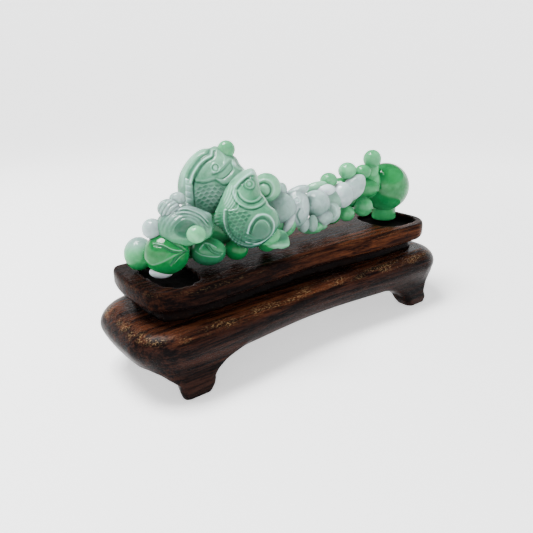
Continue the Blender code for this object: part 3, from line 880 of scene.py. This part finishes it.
def lower_fish_cuts(a, b):
    """Rings for the eye and gill covers; a rayed fin; a swirl for the curled tail with two
    smaller swirls inside it; a raised rim at the left; and scales on what the tail leaves."""
    height = 0.55 * line(a, b, ((-2.9, 7.6), (-1.2, 9.4), (0.9, 11.0), (2.0, 11.7)), 0.42)
    height -= 0.35 * line(a, b, ((-2.2, 6.9), (-0.6, 8.8), (1.3, 10.2), (2.4, 10.8)), 0.36)
    height += 0.50 * patch(a, b, (2.6, 11.6), (0.9, 0.7), 0.5)
    height += 0.35 * patch(a, b, (2.4, 13.2), (0.7, 0.7), 0.5)
    height += 0.26 * circle(a, b, (1.4, 8.2), 1.2, 0.24)
    height += 0.28 * patch(a, b, (1.4, 8.2), (0.6, 0.6), 0.4)
    height -= 0.20 * circle(a, b, (1.4, 8.2), 1.75, 0.24)
    below_head = 1 - smoother(5.2, 6.8, b)
    for radius, cut in ((4.1, 0.38), (5.9, 0.38)):
        height -= cut * circle(a, b, (1.8, 6.5), radius, 0.26) * below_head
        height += 0.30 * circle(a, b, (1.8, 6.5), radius - 0.6, 0.42) * below_head
    fin = patch(a, b, (-4.6, 4.6), (2.2, 4.0), 0.2)
    rays = np.cos(2 * math.pi * ((a + 3.0) * 0.90 - (b - 8.2) * 0.46 + 0.05 * (b - 4) ** 2) / 0.85)
    height += fin * (0.24 + 0.14 * rays)
    height += 0.35 * line(a, b, ((-6.0, 0.7), (-4.4, 0.4), (-2.6, 0.9), (-1.9, 2.2)), 0.24)
    height -= 0.30 * line(a, b, ((-8.6, 2.2), (-6.9, 5.0), (-5.4, 7.6), (-3.4, 9.8)), 0.5)
    tail = (4.3, -5.6)
    far = np.hypot(a - tail[0], b - tail[1])
    swirl = ((0.6, -6.4), (1.4, -3.9), (3.0, -1.8), (5.2, -0.9), (7.4, -1.7), (8.7, -4.0), (8.3, -6.6),
             (6.2, -8.8), (3.2, -9.8), (0.0, -9.4))
    groove, inner = (
        [(tail[0] + (p - tail[0]) * share, tail[1] + (q - tail[1]) * share) for p, q in swirl]
        for share in (0.80, 0.62)
    )
    height += 0.55 * line(a, b, swirl, 0.34)
    height -= 0.36 * line(a, b, groove, 0.36)
    height += 0.30 * line(a, b, inner[:6], 0.26)
    height -= 0.28 * patch(a, b, (4.4, -5.8), (2.3, 2.2), 0.5)
    rays = np.cos(2 * math.pi * (0.78 * a + 0.62 * b + 0.05 * a * b) / 0.95)
    height += 0.16 * rays * patch(a, b, (0.4, -7.8), (2.2, 2.0), 0.4)
    edge = ((-6.3, 0.6), (-6.5, -2.4), (-6.0, -5.4), (-4.4, -8.2), (-1.8, -9.9), (1.4, -10.6), (4.8, -9.7))
    height += 0.40 * line(a, b, edge, 0.32)
    height -= 0.34 * line(a, b, [(p * 0.88 + 0.2, q * 0.92) for p, q in edge], 0.28)
    height += 0.22 * scales(a, b, 1.2) * patch(a, b, (-8.2, -2.0), (1.4, 2.4), 0.2)
    body = patch(a, b, (-1.8, -3.4), (4.0, 5.0), 0.08) * smoother(0.8, -0.2, b)
    body = body * (1 - patch(a, b, (4.3, -5.0), (4.4, 4.6), 0.1))
    return height + body * (0.50 * scales(a, b, 1.75, 0.16) - 0.28)


carved("lower_fish", (-23.8, -7.3, 49.4), lower_fish_outline, 6.2, lower_fish_cuts, green=(0.26, -0.004),
       pale=(-0.42, 0.045), size=(140, 440), square=2.6)


def ray_fan(a, b):
    """Flutes that spread from a point at the lower left, as a cosine of the angle about it."""
    turn = np.arctan2(b + 2.2, a + 4.2)
    return 0.26 * np.cos(turn / 0.135) * smoother(1.0, 3.0, np.hypot(a + 4.2, b + 2.2))


def tail_fan_outline(angle):
    """A leaf with its stalk at the left."""
    return round_curve(
        ((0, 3.6), (40, 3.4), (90, 3.0), (140, 4.2), (180, 5.0), (230, 3.8), (270, 3.0), (300, 3.6),
         (330, 4.4)),
        angle,
    )


carved("tail_fan", (-13.6, -10.6, 39.2), tail_fan_outline, 1.7, ray_fan, green=0.32, pale=0.1,
       size=(60, 160))
bead("tail_root", (-17.4, -9.8, 41.2), (4.4, 3.4, 4.0), green=0.42, pale=0.04)


def coil(a, b):
    """A low round boss with two crescents cut into it."""
    height = 0.35 * circle(a, b, (-0.6, -0.4), 3.1, 0.5) - 0.35 * circle(a, b, (-0.8, -0.8), 2.2, 0.35)
    return height + 0.25 * patch(a, b, (-0.6, -0.6), (1.4, 1.4), 0.4)


bead("back_boss", (-8.6, 1.6, 53.4), (5.0, 5.0, 4.6), relief=coil, green=0.30, pale=0.12, size=(60, 140))
bead("boss_bump", (-1.8, 1.8, 51.6), (2.0, 2.6, 2.0), green=0.1, pale=0.35)

# ---------------------------------------------------------------------------
# Jade carving: ribbed scroll
# A breaking wave under the upper fish: flutes run round it in rings, and a smaller curl rolls
# over at its upper left.


def scroll_outline(angle):
    """A low wave that runs out to the right."""
    return round_curve(
        ((8, 9.6), (18, 9.2), (25, 10.2), (34, 8.7), (55, 7.5), (76, 7.0), (102, 6.5), (135, 7.0),
         (155, 7.7), (180, 7.5), (214, 6.6), (270, 5.2), (320, 6.2), (345, 9.0)),
        angle,
    )


def scroll_cuts(a, b):
    """Ring flutes as a cosine of the distance from the wave's eye, which is sunk; two crest
    lines, each with a groove under it; and a rolled rim at the right."""
    far = np.hypot((a - 1.4) * 0.86, b + 0.6)
    turn = np.arctan2(b + 0.6, a - 1.4)
    flutes = np.cos(2 * math.pi * (far + 0.20 * np.sin(3 * turn + 0.5)) / 1.05)
    above = smoother(-0.35, 0.25, np.sin(turn))
    height = 0.09 * flutes * smoother(2.2, 3.4, far) * above
    for rise, deep in ((0.0, 0.42), (-1.1, 0.28)):
        crest = [(p, q + rise) for p, q in ((-1.6, 5.6), (0.6, 5.9), (3.2, 5.3), (5.6, 4.0), (7.5, 2.0))]
        height += deep * line(a, b, crest, 0.24)
        height -= 0.6 * deep * line(a, b, [(p, q - 0.6) for p, q in crest], 0.24)
    height -= 1.1 * patch(a, b, (1.0, -0.2), (2.4, 1.9), 0.6)
    height += 0.40 * line(a, b, ((9.8, 4.4), (8.9, 3.6), (8.6, 2.2), (9.4, 0.6)), 0.35)
    return height + 0.35 * line(a, b, ((9.2, 0.8), (8.4, -0.8), (8.8, -2.2)), 0.4)


carved("ribbed_scroll", (-44.2, -3.4, 46.9), scroll_outline, 5.6, scroll_cuts, green=(0.20, -0.030),
       pale=(-0.14, 0.05), size=(110, 340), square=2.2)


def curl_cuts(a, b):
    """Ring flutes about a point at the lower right, as a cosine of the distance from it."""
    far = np.hypot(a - 4.4, b + 3.8)
    return 0.13 * np.cos(2 * math.pi * far / 1.05)


bead("small_curl", (-47.0, -1.4, 53.1), (3.3, 2.9, 2.8), relief=curl_cuts, green=0.02, pale=0.4,
     size=(60, 160))
bead("curl_crest", (-43.8, -1.2, 55.6), (2.4, 1.9, 2.0), green=0.05, pale=0.4, size=(40, 96))


# ---------------------------------------------------------------------------
# Jade carving: lavender middle
# Between the fish and the large ball the stone narrows to a fruit spray: lobes, petals and pale
# beads in white and lavender, greener below.


def husk(a, b):
    """A pod with a ringed eye near its top and a fold down each side."""
    height = 0.45 * circle(a, b, (0.1, 2.6), 1.1, 0.24) + 0.35 * patch(a, b, (0.1, 2.6), (0.6, 0.6), 0.5)
    height += 0.30 * line(a, b, ((2.6, 3.4), (2.2, 0.4), (2.6, -1.6)), 0.35)
    height -= 0.35 * line(a, b, ((-2.9, 4.0), (-2.8, 0.5), (-1.8, -3.6)), 0.4)
    height -= 0.25 * line(a, b, ((1.0, -0.4), (0.0, -2.6), (1.0, -5.2)), 0.35)
    return height


bead("narrow_waist", (-4.6, 0.6, 45.8), (6.6, 5.6, 5.0), green=0.05, pale=(0.12, 0.02), size=(40, 96))
bead("husk", (3.2, -0.6, 44.9), (4.6, 7.0, 4.8), relief=husk, green=0.0, pale=(0.30, 0.03), size=(80, 180))
bead("husk_crest", (3.9, 0.2, 50.4), (4.6, 2.0, 2.6), green=0.05, pale=0.6, lean=-22.0)
bead("lavender_ball", (12.1, -1.0, 45.0), (5.2, 5.0, 4.8), green=0.0, pale=(0.24, 0.03), size=(60, 140))
bead("white_cap", (17.4, 0.0, 49.2), (3.9, 2.2, 3.0), green=0.0, pale=0.97)


def coin_rim(a, b):
    """A flat raised disc that leaves a narrow border."""
    return 0.20 * patch(a, b, (0, 0), (0.78 * 3.0, 0.78 * 2.9), 0.06)


def petal_rim(a, b):
    """A thin raised ring just inside the petal's edge."""
    return 0.3 * circle(a, b, (-0.6, 0), 3.0, 0.4)


bead("flat_coin", (13.2, -4.4, 40.5), (3.1, 3.0, 1.8), relief=coin_rim, green=0.08, pale=0.45,
     size=(60, 140))
bead("rimmed_petal", (17.9, -2.6, 41.2), (3.7, 4.0, 2.2), relief=petal_rim, green=0.2, pale=0.45,
     size=(60, 140))
bead("square_petal", (7.4, -4.4, 39.2), (1.9, 3.1, 1.6), green=0.18, pale=0.4)
bead("left_petal", (4.4, -3.4, 39.0), (1.8, 2.8, 1.6), green=0.12, pale=0.5, lean=12.0)
bead("low_petals", (8.0, -2.6, 37.2), (4.6, 2.4, 2.6), green=0.6, pale=0.12)
bead("low_petal_end", (12.9, -3.2, 37.4), (2.2, 2.0, 2.0), green=0.45, pale=0.2)
bead("grey_leaf", (-2.9, -3.6, 41.2), (1.5, 3.7, 1.6), green=0.0, pale=0.5, lean=28.0)
bead("under_leaf", (-0.9, -1.2, 39.6), (2.6, 4.2, 2.6), green=0.42, pale=0.05, lean=20.0)
bead("green_under_petals", (20.0, 0.0, 38.2), (4.0, 2.6, 3.0), green=0.95)

# ---------------------------------------------------------------------------
# Jade carving: green end
# A white egg and a pointed bud lie against green beads; a round-ended stalk stands up beside the
# large ball, whose flat-bottomed foot sits in the right-hand socket.



def pointed_bud_outline(angle):
    """A long bud, pointed at both ends and broader towards the first."""
    return round_curve(
        ((0, 6.9), (18, 6.2), (60, 4.3), (90, 3.9), (130, 4.2), (180, 7.0), (230, 4.0), (270, 3.8),
         (320, 4.8)),
        angle,
    )


bead("white_egg", (25.2, -1.3, 46.3), (4.3, 4.8, 4.2), green=0.02, pale=0.88, size=(50, 120))
carved("pointed_bud", (31.3, -0.5, 47.4), pointed_bud_outline, 3.0, green=0.08, pale=(0.62, -0.01),
       lean=-50.0, size=(50, 120))
bead("crest_bead_1", (21.4, 2.4, 51.9), (3.2, 2.8, 3.0), green=0.62, pale=0.1)
bead("crest_leaf", (14.6, 2.4, 50.2), (4.6, 1.9, 2.2), green=0.35, pale=0.25, lean=-16.0)
bead("crest_bead_2", (30.9, 2.1, 54.3), (3.5, 3.2, 3.4), green=0.55, pale=0.12)
bead("crest_bead_3", (38.3, 0.8, 53.1), (3.3, 2.9, 3.2), green=0.62, pale=0.05)
bead("upright_stalk", (42.9, 0.5, 57.6), (3.5, 3.6, 3.4), green=0.62, pale=0.08, size=(50, 120))
bead("low_green_bead", (28.7, -0.5, 38.5), (3.2, 3.1, 3.1), green=0.62, pale=0.04)
bead("round_green_bead", (36.6, -1.6, 40.1), (3.9, 3.9, 3.8), green=0.55, pale=0.04)
bead("large_ball", (53.6, 2.1, 45.0), (9.75, 9.75, 9.75), green=(0.86, 0.016), size=(80, 180))
bead("stalk_stem", (43.4, 0.9, 53.4), (2.7, 4.4, 2.7), green=0.55, pale=0.05)
bead("ball_collar", (43.6, 2.0, 48.0), (4.6, 6.0, 4.6), green=0.62, pale=0.02)
bead("egg_stone", (19.6, 1.4, 44.6), (6.2, 4.6, 4.4), green=0.25, pale=0.35)
bead("link_stone", (35.0, 4.2, 46.6), (11.5, 4.6, 4.6), green=0.8, pale=0.02)


def wave_cuts(a, b):
    """Grooves that bend like wave crests, for the side that faces away."""
    bend = b + 0.035 * (a - 2.0) ** 2 + 0.8 * np.sin(0.35 * a)
    return 0.24 * np.cos(2 * math.pi * bend / 2.1) * (0.4 + 0.6 * np.sin(0.28 * a + 0.9) ** 2)


# Plain lumps behind and between the carved ones: the uncut stone that joins them.
bead("rock_stone", (-28.5, 4.6, 43.6), (13.0, 6.8, 6.0), green=0.5, pale=-0.45, size=(50, 120))
bead("back_stone", (-20.0, 6.0, 50.0), (10.0, 8.0, 5.4), relief=wave_cuts, green=0.3, pale=0.05,
     size=(90, 240))
bead("left_stone", (-40.0, 2.0, 38.6), (4.8, 3.4, 3.4), green=0.85, pale=-0.3)
bead("waist_stone", (-6.0, 1.4, 40.4), (5.6, 3.8, 3.4), green=0.6, pale=-0.45)
bead("low_link_stone", (33.4, 2.6, 42.4), (3.6, 3.2, 3.0), green=0.85, pale=0.0)
bead("low_stone", (-18.6, 0.6, 42.2), (9.0, 4.6, 5.6), green=0.6, pale=-0.45, size=(50, 120))


def pedestal():
    """A short oval foot: a turned profile of (radius, height) carried round an oval, hollowed a
    little at its waist."""
    middle_x, middle_y, oval_share = 54.6, 2.6, 0.96
    profile = np.array([
        (0, 39.4), (4.6, 39.4), (5.0, 39.0), (4.9, 37.0), (4.9, 34.4), (5.1, 32.6), (5.1, 31.9), (4.7, 31.5),
        (0, 31.5),
    ])
    angle = np.linspace(0, 2 * math.pi, 120, endpoint=False)
    radius, rise = profile[:, 0][:, None], profile[:, 1][:, None]
    grid = np.stack([
        middle_x + radius * np.cos(angle),
        middle_y + oval_share * radius * np.sin(angle),
        rise + 0 * angle,
    ], axis=-1)
    points, quads = closed_skin(grid)
    piece = mesh_piece("ball_foot", points, quads, stone)
    for key, value in (("carved", 0.0), ("greenness", 0.7), ("paleness", 0.0)):
        values = np.full(len(points), value, np.float32)
        piece.data.attributes.new(key, "FLOAT", "POINT").data.foreach_set("value", values)
    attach(piece, "carving")
    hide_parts("jade_carving")


pedestal()
